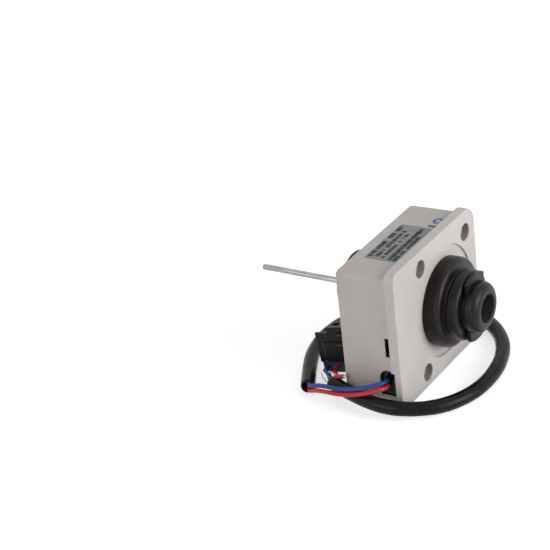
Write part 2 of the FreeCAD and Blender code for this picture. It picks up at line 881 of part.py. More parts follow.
def main():
    os.makedirs("parts", exist_ok=True)
    mount = rubber_mount()
    rear_mount = mount.copy()
    rear_mount.translate(Vector(rear_seat, 0, 0))
    save("housing", housing())
    save("rear_cover", rear_cover())
    save("rear_rubber_mount", rear_mount)
    save("front_rubber_mount", facing_forward(mount, front_seat))
    save("rear_bush", bush(rear_bush_face, rear_bush_stop))
    save("front_bush", bush(front_bush_face, front_bush_stop))
    save("rear_oil_felt", oil_felt(rear_bush_stop, -1))
    save("front_oil_felt", oil_felt(front_bush_stop, 1))
    save("rear_bush_retainer", bush_retainer(rear_bush_face, -1))
    save("front_bush_retainer", bush_retainer(front_bush_face, 1))
    save("thrust_pad", cylinder(pad_radius - fit_gap, rear_bush_stop, rear_bush_stop + pad_thickness))
    save("shaft", shaft())
    save("shaft_clip", shaft_clip())
    save("rotor_hub", rotor_hub())
    save("rotor_magnet", ring(magnet_radius, hub_radius, magnet_front, magnet_rear))
    save("rear_thrust_washer", thrust_washer(rear_bush_face - end_play - washer_thickness))
    save("front_thrust_washer", thrust_washer(front_bush_face + end_play))
    save("stator_core", stator_core())
    save("front_insulator", insulator(stack_front - insulator_thickness, stack_front))
    save("rear_insulator", rear_insulator())
    for index in range(tooth_count):
        save("coil_" + str(index + 1), coil(360.0 * index / tooth_count))
    save("stator_screws", stator_screws())
    save("circuit_board", circuit_board())
    save("driver_chip", driver_chip())
    save("hall_sensor", on_board(hall_size, (-(hub_radius + magnet_wall / 2), 0.0)))
    save("filter_capacitor", filter_capacitor())
    save("upper_resistor", resistor(upper_resistor_z))
    save("lower_resistor", resistor(lower_resistor_z))
    save("wire_header", wire_header())
    save("label", label())
    save("wire_sleeve", cord("wire_sleeve", sleeve_points(), sleeve_radius, sleeve_radius - sleeve_wall))
    blue_end, red_end = terminals_across()
    blue_route = wire_route(blue_start, wire_rise, wire_end(blue_end, blue_tail))
    red_route = wire_route(red_start, -wire_rise, wire_end(red_end, red_tail))
    save("blue_wire", cord("blue_wire", blue_route, wire_radius))
    save("red_wire", cord("red_wire", red_route, wire_radius))
    save("connector_housing", connector_housing())
    save("connector_cap", connector_cap())
    save("blue_terminal", terminal(blue_end))
    save("red_terminal", terminal(red_end))


main()
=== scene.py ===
import math

import bpy
import numpy as np
from mathutils import Matrix, Vector


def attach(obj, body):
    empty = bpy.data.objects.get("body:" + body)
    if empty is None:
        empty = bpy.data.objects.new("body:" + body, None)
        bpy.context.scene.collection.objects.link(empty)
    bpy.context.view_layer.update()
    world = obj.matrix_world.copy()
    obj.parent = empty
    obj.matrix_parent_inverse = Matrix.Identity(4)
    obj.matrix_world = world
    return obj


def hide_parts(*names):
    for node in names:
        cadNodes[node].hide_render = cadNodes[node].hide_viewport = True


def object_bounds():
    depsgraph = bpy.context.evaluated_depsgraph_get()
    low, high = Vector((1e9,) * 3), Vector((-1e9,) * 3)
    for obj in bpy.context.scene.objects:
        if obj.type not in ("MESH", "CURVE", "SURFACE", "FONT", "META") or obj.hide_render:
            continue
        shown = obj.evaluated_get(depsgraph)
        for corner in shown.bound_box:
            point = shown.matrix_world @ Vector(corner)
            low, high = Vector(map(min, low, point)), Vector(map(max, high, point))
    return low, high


# Dc fan motor with its wire harness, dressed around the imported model, in the model's own frame: the
# shaft lies along X with its free end towards -X, +Z is up, and the wires leave on the -Y side. Sizes of
# pieces are in millimetres; the studio and the depths of surface grain are in metres.

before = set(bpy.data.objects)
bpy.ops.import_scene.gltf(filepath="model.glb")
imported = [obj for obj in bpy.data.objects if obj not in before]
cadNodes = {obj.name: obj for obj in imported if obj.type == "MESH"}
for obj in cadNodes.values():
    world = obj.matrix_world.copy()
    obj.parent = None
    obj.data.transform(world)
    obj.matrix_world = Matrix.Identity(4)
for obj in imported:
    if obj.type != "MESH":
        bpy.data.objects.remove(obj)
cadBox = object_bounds()
mm = 0.001
print("frame loaded,", len(cadNodes), "nodes")

# Camera, floor and light

cameraLook = {
    "place": (0.3937, -0.7075, 0.4372),
    "azimuth": 34.781,
    "elevation": 27.11,
    "roll": -6.81,
    "lens": 124.36,
    "sensor": 36.0,
    "clip": (0.05, 30.0),
}


def aimCamera(look):
    # turned to its azimuth about Z, tipped down by its elevation, then rolled about its own line of sight
    data = bpy.data.cameras.new("studioCamera")
    data.lens = look["lens"]
    data.sensor_width = look["sensor"]
    data.clip_start, data.clip_end = look["clip"]
    camera = bpy.data.objects.new("studioCamera", data)
    bpy.context.scene.collection.objects.link(camera)
    heading = Matrix.Rotation(math.radians(look["azimuth"]), 4, "Z")
    tip = Matrix.Rotation(math.radians(90.0 - look["elevation"]), 4, "X")
    roll = Matrix.Rotation(math.radians(look["roll"]), 4, "Z")
    camera.matrix_world = Matrix.Translation(look["place"]) @ heading @ tip @ roll
    bpy.context.scene.camera = camera


studioLook = {
    "floorHalf": 4.0,
    "floorDrop": 0.0002,  # below the lowest point of the part, so that nothing sits in it
    "floorColor": (0.80, 0.80, 0.80),
    "floorGlow": 0.62,
    "worldColor": (1.0, 1.0, 1.0),
    "worldStrength": 0.30,
    "lamps": {
        "lampRight": {"place": (1.2, 0.05, 0.45), "size": (0.9, 0.9), "power": 12.0},
        "lampTop": {"place": (-0.25, 0.55, 1.2), "size": (1.4, 1.0), "power": 1.8},
        "lampFront": {"place": (-0.3, -1.35, 0.55), "size": (1.1, 0.9), "power": 6.5},
    },
}


def nodeIn(tree, kind, inputs=None, **settings):
    # a shader node with its settings and inputs in place; an input is a number, a colour or another
    # node's output
    made = tree.nodes.new(kind)
    for key, value in settings.items():
        setattr(made, key, value)
    for key, value in (inputs or {}).items():
        if isinstance(value, bpy.types.NodeSocket):
            tree.links.new(value, made.inputs[key])
        else:
            made.inputs[key].default_value = value
    return made


def mathOf(tree, operation, first, second=0.0):
    return nodeIn(tree, "ShaderNodeMath", {0: first, 1: second}, operation=operation).outputs[0]


def sumOf(tree, first, second):
    return mathOf(tree, "ADD", first, second)


def squareOf(tree, value):
    return mathOf(tree, "MULTIPLY", value, value)


def seenRay(tree):
    # 1 for a ray from the camera or by way of a mirror or glass, and 0 for light that only bounces off
    path = nodeIn(tree, "ShaderNodeLightPath")
    direct = mathOf(tree, "MAXIMUM", path.outputs["Is Camera Ray"], path.outputs["Is Glossy Ray"])
    return mathOf(tree, "MAXIMUM", direct, path.outputs["Is Transmission Ray"])


def makeFloor(look):
    # a plain square; its own glow, seen only directly, lifts it to white and leaves the object's shadow in it
    low = cadBox[0][2] - look["floorDrop"]
    half = look["floorHalf"]
    corners = [(-half, -half, low), (half, -half, low), (half, half, low), (-half, half, low)]
    mesh = bpy.data.meshes.new("studioFloor")
    mesh.from_pydata(corners, [], [(0, 1, 2, 3)])
    floor = bpy.data.objects.new("studioFloor", mesh)
    bpy.context.scene.collection.objects.link(floor)
    material = bpy.data.materials.new("floorPaper")
    material.use_nodes = True
    tree = material.node_tree
    tree.nodes.clear()
    paper = nodeIn(tree, "ShaderNodeBsdfDiffuse", {"Color": (*look["floorColor"], 1.0)})
    strength = mathOf(tree, "MULTIPLY", seenRay(tree), look["floorGlow"])
    glow = nodeIn(tree, "ShaderNodeEmission", {"Strength": strength})
    both = nodeIn(tree, "ShaderNodeAddShader", {0: paper.outputs[0], 1: glow.outputs[0]})
    nodeIn(tree, "ShaderNodeOutputMaterial", {"Surface": both.outputs[0]})
    mesh.materials.append(material)


def makeWorld(look):
    # a plain even sky for the light, and white where it is seen
    world = bpy.data.worlds.new("studioSky")
    bpy.context.scene.world = world
    world.use_nodes = True
    tree = world.node_tree
    tree.nodes.clear()
    seen = seenRay(tree)
    lift = mathOf(tree, "MULTIPLY", seen, 1.0 - look["worldStrength"])
    strength = sumOf(tree, lift, look["worldStrength"])
    sky = nodeIn(tree, "ShaderNodeBackground", {"Color": (*look["worldColor"], 1.0), "Strength": strength})
    nodeIn(tree, "ShaderNodeOutputWorld", {"Surface": sky.outputs[0]})


def makeLamps(look):
    for name, lamp in look["lamps"].items():
        data = bpy.data.lights.new(name, "AREA")
        data.shape = "RECTANGLE"
        data.size, data.size_y = lamp["size"]
        data.energy = lamp["power"]
        light = bpy.data.objects.new(name, data)
        bpy.context.scene.collection.objects.link(light)
        place = Vector(lamp["place"])
        facing = (-place).to_track_quat("-Z", "Y").to_matrix().to_4x4()
        light.matrix_world = Matrix.Translation(place) @ facing


bpy.context.scene.view_settings.view_transform = "Standard"
aimCamera(cameraLook)
makeFloor(studioLook)
makeWorld(studioLook)
makeLamps(studioLook)
print("studio ready")

# Meshes from numpy


def gridQuads(rows, columns, closeRows, closeColumns):
    # the four corners of every cell of a grid of points; a closed direction joins its last line to its first
    i, j = np.meshgrid(
        np.arange(rows if closeRows else rows - 1),
        np.arange(columns if closeColumns else columns - 1),
        indexing="ij",
    )
    nextRow = (i + 1) % rows
    nextColumn = (j + 1) % columns
    corners = [
        i * columns + j,
        nextRow * columns + j,
        nextRow * columns + nextColumn,
        i * columns + nextColumn,
    ]
    return np.stack(corners, axis=-1).reshape(-1, 4), i.reshape(-1), j.reshape(-1)


def facesInward(points, quads):
    # the signed volume under the quads is negative when they face inwards
    a, b, c, d = (points[quads[:, k]] for k in range(4))
    volume = np.einsum("ij,ij->i", a, np.cross(b, c)).sum() + np.einsum("ij,ij->i", a, np.cross(c, d)).sum()
    return volume < 0


def makePiece(name, points, faces, material, body="stator", uv=None, smooth=True):
    # one mesh object at the origin, riding on its body
    mesh = bpy.data.meshes.new(name)
    mesh.from_pydata(points.tolist(), [], faces.tolist())
    mesh.polygons.foreach_set("use_smooth", np.full(len(mesh.polygons), smooth))
    if uv is not None:
        layer = mesh.uv_layers.new(name="alongPiece")
        layer.data.foreach_set("uv", uv.astype(np.float32).reshape(-1))
    mesh.materials.append(material)
    mesh.update()
    piece = bpy.data.objects.new(name, mesh)
    bpy.context.scene.collection.objects.link(piece)
    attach(piece, body)
    return piece


def routeLine(points, perRun):
    # the smooth line that a NURBS curve of order 3 follows with the route's points as its control points
    curve = bpy.data.curves.new("routeCurve", "CURVE")
    curve.dimensions = "3D"
    curve.resolution_u = perRun
    spline = curve.splines.new("NURBS")
    spline.points.add(len(points) - 1)
    spline.points.foreach_set("co", np.column_stack([points, np.ones(len(points))]).reshape(-1))
    spline.order_u = 3
    spline.use_endpoint_u = True
    carrier = bpy.data.objects.new("routeCurve", curve)
    bpy.context.scene.collection.objects.link(carrier)
    bpy.context.view_layer.update()
    mesh = bpy.data.meshes.new_from_object(carrier)
    line = np.zeros(len(mesh.vertices) * 3)
    mesh.vertices.foreach_get("co", line)
    bpy.data.objects.remove(carrier)
    bpy.data.meshes.remove(mesh)
    bpy.data.curves.remove(curve)
    return line.reshape(-1, 3)


def lineFrames(line):
    # at each point: the way the line goes, the level direction across it, and the direction square to both
    ahead = np.gradient(line, axis=0)
    ahead /= np.linalg.norm(ahead, axis=1, keepdims=True)
    across = np.cross(ahead, [0.0, 0.0, 1.0])
    across /= np.linalg.norm(across, axis=1, keepdims=True)
    return ahead, across, np.cross(across, ahead)


def distanceAlong(line):
    steps = np.linalg.norm(np.diff(line, axis=0), axis=1)
    return np.concatenate([[0.0], np.cumsum(steps)])


def carriedRing(line, stations, radii, sides, flat=None):
    # a profile of (place along the line, radius) points turned about the line: each profile point is a
    # circle of that radius, square to the line at its place; flat squeezes the circle's height by a share
    along = distanceAlong(line)
    ahead, across, rise = lineFrames(line)
    centre = np.column_stack([np.interp(stations, along, line[:, k]) for k in range(3)])
    side = np.column_stack([np.interp(stations, along, across[:, k]) for k in range(3)])
    up = np.column_stack([np.interp(stations, along, rise[:, k]) for k in range(3)])
    before = np.minimum(stations - along[0], 0.0) + np.maximum(stations - along[-1], 0.0)
    tip = np.where((stations > along[-1])[:, None], ahead[-1], ahead[0])
    centre = centre + before[:, None] * tip
    angle = np.linspace(0.0, 2.0 * math.pi, sides, endpoint=False)
    squeeze = np.ones(len(stations)) if flat is None else 1.0 - flat
    circle = side[:, None, :] * np.cos(angle)[None, :, None]
    circle = circle + up[:, None, :] * (np.sin(angle)[None, :] * squeeze[:, None])[:, :, None]
    return centre[:, None, :] + circle * radii[:, None, None]


def tubePiece(name, line, stations, radii, sides, material, flat=None, closeProfile=True):
    # a closed skin: the profile's last point joins its first where it is a wall, or both its ends shut on
    # the line
    grid = carriedRing(line, stations, radii, sides, flat)
    rows = len(stations)
    quads, i, j = gridQuads(rows, sides, closeProfile, True)
    points = grid.reshape(-1, 3)
    flipped = facesInward(points, quads)
    if flipped:
        quads = quads[:, ::-1]
    travelled = np.concatenate([[0.0], np.cumsum(np.abs(np.diff(stations)) + np.abs(np.diff(radii)))])
    nextRow = np.minimum(i + 1, rows - 1)
    corner = [
        np.stack([j / sides, travelled[i]], axis=-1),
        np.stack([j / sides, travelled[nextRow]], axis=-1),
        np.stack([(j + 1) / sides, travelled[nextRow]], axis=-1),
        np.stack([(j + 1) / sides, travelled[i]], axis=-1),
    ]
    uv = np.stack(corner[::-1] if flipped else corner, axis=1)
    return makePiece(name, points, quads, material, "stator", uv)


# Finishes

finishes = {}


def startFinish(name, color, roughness, metallic=0.0, specular=0.5, coat=0.0, coatRoughness=0.1):
    material = bpy.data.materials.new(name)
    material.use_nodes = True
    tree = material.node_tree
    shader = next(item for item in tree.nodes if item.type == "BSDF_PRINCIPLED")
    shader.inputs["Base Color"].default_value = (*color, 1.0)
    shader.inputs["Roughness"].default_value = roughness
    shader.inputs["Metallic"].default_value = metallic
    shader.inputs["Specular IOR Level"].default_value = specular
    shader.inputs["Coat Weight"].default_value = coat
    shader.inputs["Coat Roughness"].default_value = coatRoughness
    finishes[name] = material
    return tree, shader


def placeOf(tree, stretch=(1.0, 1.0, 1.0), shift=(0.0, 0.0, 0.0)):
    # object coordinates in millimetres, stretched where a pattern runs along one direction
    where = nodeIn(tree, "ShaderNodeTexCoord").outputs["Object"]
    size = tuple(1000.0 * share for share in stretch)
    return nodeIn(tree, "ShaderNodeMapping", {"Vector": where, "Scale": size, "Location": shift}).outputs[0]


def cloudOf(tree, where, scale, detail=2.0, rough=0.5):
    inputs = {"Vector": where, "Scale": scale, "Detail": detail, "Roughness": rough}
    return nodeIn(tree, "ShaderNodeTexNoise", inputs).outputs[0]


def between(tree, value, low, high, start=0.0, end=1.0):
    # the value's share of the way from low to high, smoothed, carried to start and end
    inputs = {"Value": value, "From Min": low, "From Max": high, "To Min": start, "To Max": end}
    return nodeIn(tree, "ShaderNodeMapRange", inputs, interpolation_type="SMOOTHSTEP").outputs[0]


def blendTones(tree, share, first, second):
    # from the first tone to the second by that share; a tone is a colour or another node's output
    made = nodeIn(tree, "ShaderNodeMix", data_type="RGBA")
    for key, value in ((0, share), (6, first), (7, second)):
        if isinstance(value, bpy.types.NodeSocket):
            tree.links.new(value, made.inputs[key])
        else:
            made.inputs[key].default_value = (*value, 1.0)
    return made.outputs[2]


def raiseGrain(tree, shader, height, depth):
    bump = nodeIn(tree, "ShaderNodeBump", {"Height": height, "Distance": depth, "Strength": 1.0})
    tree.links.new(bump.outputs[0], shader.inputs["Normal"])


def splitPlace(tree, where):
    return nodeIn(tree, "ShaderNodeSeparateXYZ", {0: where}).outputs


pockets = {"centres": [(-22.0, 27.95), (24.0, 25.6)], "radius": 4.6, "mouth": -0.35, "floor": -4.9}


def pocketShadeMask(tree, where, look):
    # the share of painted shade inside the cover's four round pockets, where their deep walls fall into
    # shade: 1 nearer than their radius to a centre, which the lower two mirror in Z, and between their mouth
    # and their floor
    x, y, z = splitPlace(tree, where)
    height = mathOf(tree, "ABSOLUTE", z)
    least = None
    for centreY, centreZ in look["centres"]:
        aside = squareOf(tree, mathOf(tree, "SUBTRACT", y, centreY))
        above = squareOf(tree, mathOf(tree, "SUBTRACT", height, centreZ))
        away = mathOf(tree, "SQRT", sumOf(tree, aside, above))
        least = away if least is None else mathOf(tree, "MINIMUM", least, away)
    near = mathOf(tree, "LESS_THAN", least, look["radius"])
    deep = mathOf(tree, "LESS_THAN", x, look["mouth"])
    shallow = mathOf(tree, "GREATER_THAN", x, look["floor"])
    return mathOf(tree, "MULTIPLY", near, mathOf(tree, "MULTIPLY", deep, shallow))


# the box behind the wire arch and slot that is painted dark as painted shade, and where that shade starts on
# the case and on the wires
archShade = {
    "middle": (-8.0, -39.0, -13.5),
    "half": (6.0, 9.0, 16.5),
    "dark": -45.4,
    "caseSkin": -46.0,
    "wireSkin": -48.0,
    "wireShadeTone": (0.008, 0.007, 0.007),
}


def archShadeMask(tree, where, skin, look=archShade):
    # how much painted shade a point takes behind the wire arch and the slot beside it: 0 out at the skin and
    # 1 where it is painted fully dark
    share = None
    place = splitPlace(tree, where)
    for value, middle, half in zip(place, look["middle"], look["half"]):
        near = nodeIn(tree, "ShaderNodeMath", {0: value, 1: middle, 2: half}, operation="COMPARE").outputs[0]
        share = near if share is None else mathOf(tree, "MULTIPLY", share, near)
    return mathOf(tree, "MULTIPLY", share, between(tree, place[1], skin, look["dark"]))


mouldGrain = {
    "cloudScale": 0.045,
    "cloudSpan": (0.35, 0.65),
    "markStretch": (1.0, 0.35, 1.0),
    "markScale": 0.5,
    "markSpan": (0.60, 0.78),
    "speckScale": 1.6,
    "speckSpan": (0.74, 0.80),
    "speckShare": 0.35,
    "grainScale": 5.0,
    "smoother": 0.04,
    "rougher": 0.06,
}


def mouldedPlastic(name, look, grain=mouldGrain):
    # faint flow clouds and handling marks in the colour, and a fine spark-eroded grain in the surface
    tree, shader = startFinish(name, look["color"], look["roughness"], specular=look["specular"])
    where = placeOf(tree)
    clouds = between(tree, cloudOf(tree, where, grain["cloudScale"], 3.0), *grain["cloudSpan"])
    tone = blendTones(tree, clouds, look["color"], look["clouded"])
    rubbed = cloudOf(tree, placeOf(tree, grain["markStretch"]), grain["markScale"], 5.0, 0.65)
    tone = blendTones(tree, between(tree, rubbed, *grain["markSpan"]), tone, look["marked"])
    dots = cloudOf(tree, where, grain["speckScale"], 1.0)
    specks = between(tree, dots, *grain["speckSpan"], 0.0, grain["speckShare"])
    tone = blendTones(tree, specks, tone, look["speck"])
    if "pocketShadeTone" in look:
        # painted shade inside the cover's round pockets
        tone = blendTones(tree, pocketShadeMask(tree, where, pockets), tone, look["pocketShadeTone"])
        # painted shade behind the wire arch and the slot beside it
        tone = blendTones(tree, archShadeMask(tree, where, archShade["caseSkin"]), tone, look["archShadeTone"])
    tree.links.new(tone, shader.inputs["Base Color"])
    smooth = look["roughness"] - grain["smoother"]
    rough = look["roughness"] + grain["rougher"]
    tree.links.new(between(tree, clouds, 0.0, 1.0, smooth, rough), shader.inputs["Roughness"])
    raiseGrain(tree, shader, cloudOf(tree, where, grain["grainScale"]), look["grainDepth"])


caseLook = {
    "color": (0.560, 0.518, 0.486),
    "clouded": (0.530, 0.490, 0.462),
    "marked": (0.500, 0.464, 0.434),
    "speck": (0.36, 0.33, 0.30),
    # painted shade for the inside of the cover's pockets
    "pocketShadeTone": (0.34, 0.315, 0.300),
    # painted shade for the room behind the wire arch
    "archShadeTone": (0.030, 0.027, 0.025),
    "roughness": 0.42,
    "specular": 0.4,
    "grainDepth": 0.00003,
}
coverLook = {
    **caseLook,
    "color": (0.600, 0.562, 0.545),
    "clouded": (0.575, 0.538, 0.524),
    "marked": (0.545, 0.508, 0.492),
    "speck": (0.40, 0.37, 0.34),
    "roughness": 0.40,
}
mouldedPlastic("casePlastic", caseLook)
mouldedPlastic("coverPlastic", coverLook)

rubberLook = {
    "color": (0.0050, 0.0030, 0.0028),
    "worn": (0.011, 0.0078, 0.0074),
    "dust": (0.16, 0.15, 0.145),
    # painted light for the inside of the bore
    "borePaintedLight": (0.045, 0.042, 0.042),
    "boreRadius": 7.25,
    "roughness": 0.33,
    "rougher": 0.14,
    "specular": 0.24,
    "bloomScale": 0.16,
    "dustScale": 2.2,
    "ringScale": 2.4,
    "ringStretch": (1.0, 0.02, 0.02),
    "poreScale": 3.5,
    "grainDepth": 0.00005,
}


def mountRubber(look):
    # soft black moulding: cloudy bloom, a few dust specks, painted light lifting the inside of the bore, and
    # the fine rings that the mould's turning leaves
    tree, shader = startFinish("mountRubber", look["color"], look["roughness"], specular=look["specular"])
    where = placeOf(tree)
    bloom = between(tree, cloudOf(tree, where, look["bloomScale"], 4.0, 0.6), 0.45, 0.75)
    tone = blendTones(tree, bloom, look["color"], look["worn"])
    dust = between(tree, cloudOf(tree, where, look["dustScale"], 1.0), 0.76, 0.80, 0.0, 0.8)
    tone = blendTones(tree, dust, tone, look["dust"])
    axis = splitPlace(tree, where)
    fromAxis = mathOf(tree, "SQRT", sumOf(tree, squareOf(tree, axis[1]), squareOf(tree, axis[2])))
    # painted light: inside the bore the black is lifted to a lighter grey
    inBore = between(tree, fromAxis, look["boreRadius"], look["boreRadius"] - 0.1)
    tone = blendTones(tree, inBore, tone, look["borePaintedLight"])
    tree.links.new(tone, shader.inputs["Base Color"])
    rough = between(tree, bloom, 0.0, 1.0, look["roughness"], look["roughness"] + look["rougher"])
    tree.links.new(rough, shader.inputs["Roughness"])
    rings = cloudOf(tree, placeOf(tree, look["ringStretch"]), look["ringScale"])
    pores = cloudOf(tree, where, look["poreScale"], 3.0)
    height = sumOf(tree, mathOf(tree, "MULTIPLY", rings, 0.5), pores)
    raiseGrain(tree, shader, height, look["grainDepth"])


mountRubber(rubberLook)

metalLooks = {
    # colour, roughness, how much the streaks are squeezed along X, Y and Z, and how deep they are
    "shaftSteel": ((0.41, 0.40, 0.38), 0.20, (0.03, 0.4, 0.4), 0.000006),
    "springSteel": ((0.50, 0.50, 0.51), 0.30, (1.0, 0.3, 0.3), 0.000006),
    "coreSteel": ((0.33, 0.33, 0.35), 0.38, (2.0, 0.05, 0.05), 0.00003),
    "screwSteel": ((0.60, 0.60, 0.62), 0.25, (1.0, 0.4, 0.4), 0.000006),
    "bushBronze": ((0.48, 0.33, 0.18), 0.45, (0.6, 0.6, 0.6), 0.00003),
    "terminalTin": ((0.62, 0.61, 0.58), 0.32, (0.4, 1.0, 1.0), 0.000006),
}
streakLook = {"scale": 3.0, "darkest": 0.55, "smoother": 0.06, "rougher": 0.1}


def groundSteel(name, color, roughness, squeeze, depth, streak=streakLook):
    # drawn or ground metal: streaks far longer one way than the other, in the gloss and a little in the
    # surface
    tree, shader = startFinish(name, color, roughness, metallic=1.0)
    streaks = cloudOf(tree, placeOf(tree, squeeze), streak["scale"], 4.0, 0.6)
    dark = tuple(streak["darkest"] * tone for tone in color)
    dull = blendTones(tree, between(tree, streaks, 0.35, 0.7), color, dark)
    tree.links.new(dull, shader.inputs["Base Color"])
    smooth = roughness - streak["smoother"]
    rough = roughness + streak["rougher"]
    tree.links.new(between(tree, streaks, 0.3, 0.7, smooth, rough), shader.inputs["Roughness"])
    raiseGrain(tree, shader, streaks, depth)


for name, look in metalLooks.items():
    groundSteel(name, *look)

plainLooks = {
    # its two tones, roughness, how fine the grain is and how deep
    "feltCloth": ((0.36, 0.31, 0.20), (0.22, 0.18, 0.10), 0.9, 6.0, 0.0002),
    "slidePlastic": ((0.62, 0.60, 0.52), (0.54, 0.51, 0.43), 0.4, 4.0, 0.00002),
    "washerPlastic": ((0.36, 0.20, 0.07), (0.28, 0.15, 0.05), 0.35, 4.0, 0.00002),
    "magnetFerrite": ((0.030, 0.030, 0.033), (0.050, 0.050, 0.052), 0.5, 3.0, 0.00005),
    "hubPlastic": ((0.020, 0.020, 0.022), (0.030, 0.030, 0.032), 0.5, 5.0, 0.00003),
    "insulatorPlastic": ((0.68, 0.66, 0.58), (0.60, 0.58, 0.50), 0.45, 5.0, 0.00002),
    "chipBlack": ((0.016, 0.016, 0.017), (0.024, 0.024, 0.024), 0.55, 8.0, 0.00002),
    "capacitorSleeve": ((0.020, 0.028, 0.075), (0.016, 0.022, 0.055), 0.25, 2.0, 0.00001),
    "resistorCoat": ((0.40, 0.27, 0.13), (0.33, 0.21, 0.10), 0.4, 5.0, 0.00003),
    "headerPlastic": ((0.70, 0.67, 0.57), (0.62, 0.59, 0.50), 0.4, 5.0, 0.00002),
}


def plainFinish(name, color, other, roughness, grainScale, depth):
    # two close tones in soft clouds, over a fine grain
    tree, shader = startFinish(name, color, roughness)
    where = placeOf(tree)
    clouds = between(tree, cloudOf(tree, where, 0.6, 4.0, 0.6), 0.35, 0.65)
    tree.links.new(blendTones(tree, clouds, color, other), shader.inputs["Base Color"])
    raiseGrain(tree, shader, cloudOf(tree, where, grainScale, 3.0), depth)


for name, look in plainLooks.items():
    plainFinish(name, *look)

coilLook = {
    "color": (0.46, 0.16, 0.05),
    "groove": (0.22, 0.07, 0.02),
    "back": (0.55, 0.21, 0.07),
    "shade": (0.35, 0.12, 0.04),
    "roughness": 0.22,
    "metallic": 0.7,
    "coat": 0.4,
    "turnScale": 1.25,
    "turnDepth": 0.0001,
}
boardLook = {
    "color": (0.012, 0.11, 0.045),
    "gap": (0.025, 0.19, 0.075),
    "run": (0.010, 0.095, 0.040),
    "roughness": 0.28,
    "coat": 0.3,
    "laneY": 1.9,
    "laneZ": 2.6,
    "runSpan": (0.35, 0.42),
    "runDepth": 0.00004,
}


def coilCopper(look):
    # enamelled turns: fine bands across X, painted darker in the grooves between turns as painted shade and
    # lighter on their backs as painted highlight, with round backs in the surface
    tree, shader = startFinish(
        "coilCopper", look["color"], look["roughness"], metallic=look["metallic"], coat=look["coat"]
    )
    inputs = {"Vector": placeOf(tree), "Scale": look["turnScale"], "Distortion": 0.5}
    turns = nodeIn(tree, "ShaderNodeTexWave", inputs, bands_direction="X").outputs[1]
    # painted shade in the grooves and painted highlight on the turns' backs
    tone = blendTones(tree, turns, look["groove"], look["back"])
    shade = between(tree, cloudOf(tree, placeOf(tree), 0.7), 0.3, 0.7, 0.0, 0.4)
    tree.links.new(blendTones(tree, shade, tone, look["shade"]), shader.inputs["Base Color"])
    raiseGrain(tree, shader, turns, look["turnDepth"])


def boardGreen(look):
    # solder mask with darker copper runs under it, in straight lanes along Y and Z
    tree, shader = startFinish("boardGreen", look["color"], look["roughness"], coat=look["coat"])
    where = splitPlace(tree, placeOf(tree))
    laneY = mathOf(tree, "PINGPONG", where[1], look["laneY"])
    laneZ = mathOf(tree, "PINGPONG", where[2], look["laneZ"])
    region = between(tree, cloudOf(tree, placeOf(tree), 0.09, 0.0), 0.49, 0.51)
    lane = nodeIn(tree, "ShaderNodeMix", {0: region, 2: laneY, 3: laneZ}, data_type="FLOAT").outputs[0]
    run = between(tree, lane, *look["runSpan"])
    tree.links.new(blendTones(tree, run, look["gap"], look["run"]), shader.inputs["Base Color"])
    raiseGrain(tree, shader, run, look["runDepth"])


coilCopper(coilLook)
boardGreen(boardLook)

labelLook = {
    "color": (0.225, 0.240, 0.250),
    "far": (0.240, 0.250, 0.262),
    "worn": (0.30, 0.33, 0.33),
    "roughness": 0.30,
    "specular": 0.3,
    "sheenRamp": (-27.0, 6.0),
    "scuffStretch": (1.0, 0.3, 1.0),
    "waveDepth": 0.00008,
}


def labelFilm(look):
    # silvered film, a little lighter towards its far end as painted sheen, with scuffs and a slight waviness
    tree, shader = startFinish("labelFilm", look["color"], look["roughness"], specular=look["specular"])
    where = placeOf(tree)
    # painted sheen: the film is lighter towards +Y
    sheenRamp = between(tree, splitPlace(tree, where)[1], *look["sheenRamp"])
    tone = blendTones(tree, sheenRamp, look["color"], look["far"])
    rubbed = cloudOf(tree, placeOf(tree, look["scuffStretch"]), 0.8, 5.0, 0.7)
    tone = blendTones(tree, between(tree, rubbed, 0.58, 0.75, 0.0, 0.7), tone, look["worn"])
    tree.links.new(tone, shader.inputs["Base Color"])
    raiseGrain(tree, shader, cloudOf(tree, where, 0.25), look["waveDepth"])


labelFilm(labelLook)

cordLooks = {
    # its tone and the lighter one of its draw lines, roughness, specular and how deep the wrinkles are
    "sleeveBlack": ((0.0065, 0.0057, 0.0050), (0.0100, 0.0090, 0.0080), 0.30, 0.14, 0.00003),
    "wireBlue": ((0.018, 0.055, 0.235), (0.035, 0.085, 0.30), 0.30, 0.28, 0.00002),
    "wireRed": ((0.52, 0.022, 0.045), (0.60, 0.045, 0.070), 0.30, 0.28, 0.00002),
}
cordSkin = {
    "drawScale": (9.0, 60.0, 1.0),
    "patchScale": 0.12,
    "nickScale": 1.5,
    "smoother": 0.05,
    "rougher": 0.12,
}


def cordPvc(name, color, light, roughness, specular, wrinkle, grain=cordSkin):
    # soft pvc skin: long faint draw lines along the cord, small nicks, a patchy gloss, and painted shade
    # where the wires run into the dark behind the case's arch
    tree, shader = startFinish(name, color, roughness, specular=specular)
    skin = nodeIn(tree, "ShaderNodeUVMap", uv_map="alongPiece").outputs[0]
    drawn = nodeIn(tree, "ShaderNodeMapping", {"Vector": skin, "Scale": grain["drawScale"]}).outputs[0]
    lines = cloudOf(tree, drawn, 1.0, 3.0, 0.6)
    where = placeOf(tree)
    patches = between(tree, cloudOf(tree, where, grain["patchScale"], 4.0, 0.6), 0.4, 0.7)
    tone = blendTones(tree, between(tree, lines, 0.4, 0.75, 0.0, 0.6), color, light)
    # painted shade: the wires go dark as they run in behind the arch
    dark = archShadeMask(tree, where, archShade["wireSkin"])
    tone = blendTones(tree, dark, tone, archShade["wireShadeTone"])
    tree.links.new(tone, shader.inputs["Base Color"])
    smooth = roughness - grain["smoother"]
    rough = roughness + grain["rougher"]
    tree.links.new(between(tree, patches, 0.0, 1.0, smooth, rough), shader.inputs["Roughness"])
    nicks = cloudOf(tree, where, grain["nickScale"], 4.0, 0.6)
    raiseGrain(tree, shader, sumOf(tree, lines, nicks), wrinkle)


for name, look in cordLooks.items():
    cordPvc(name, *look)

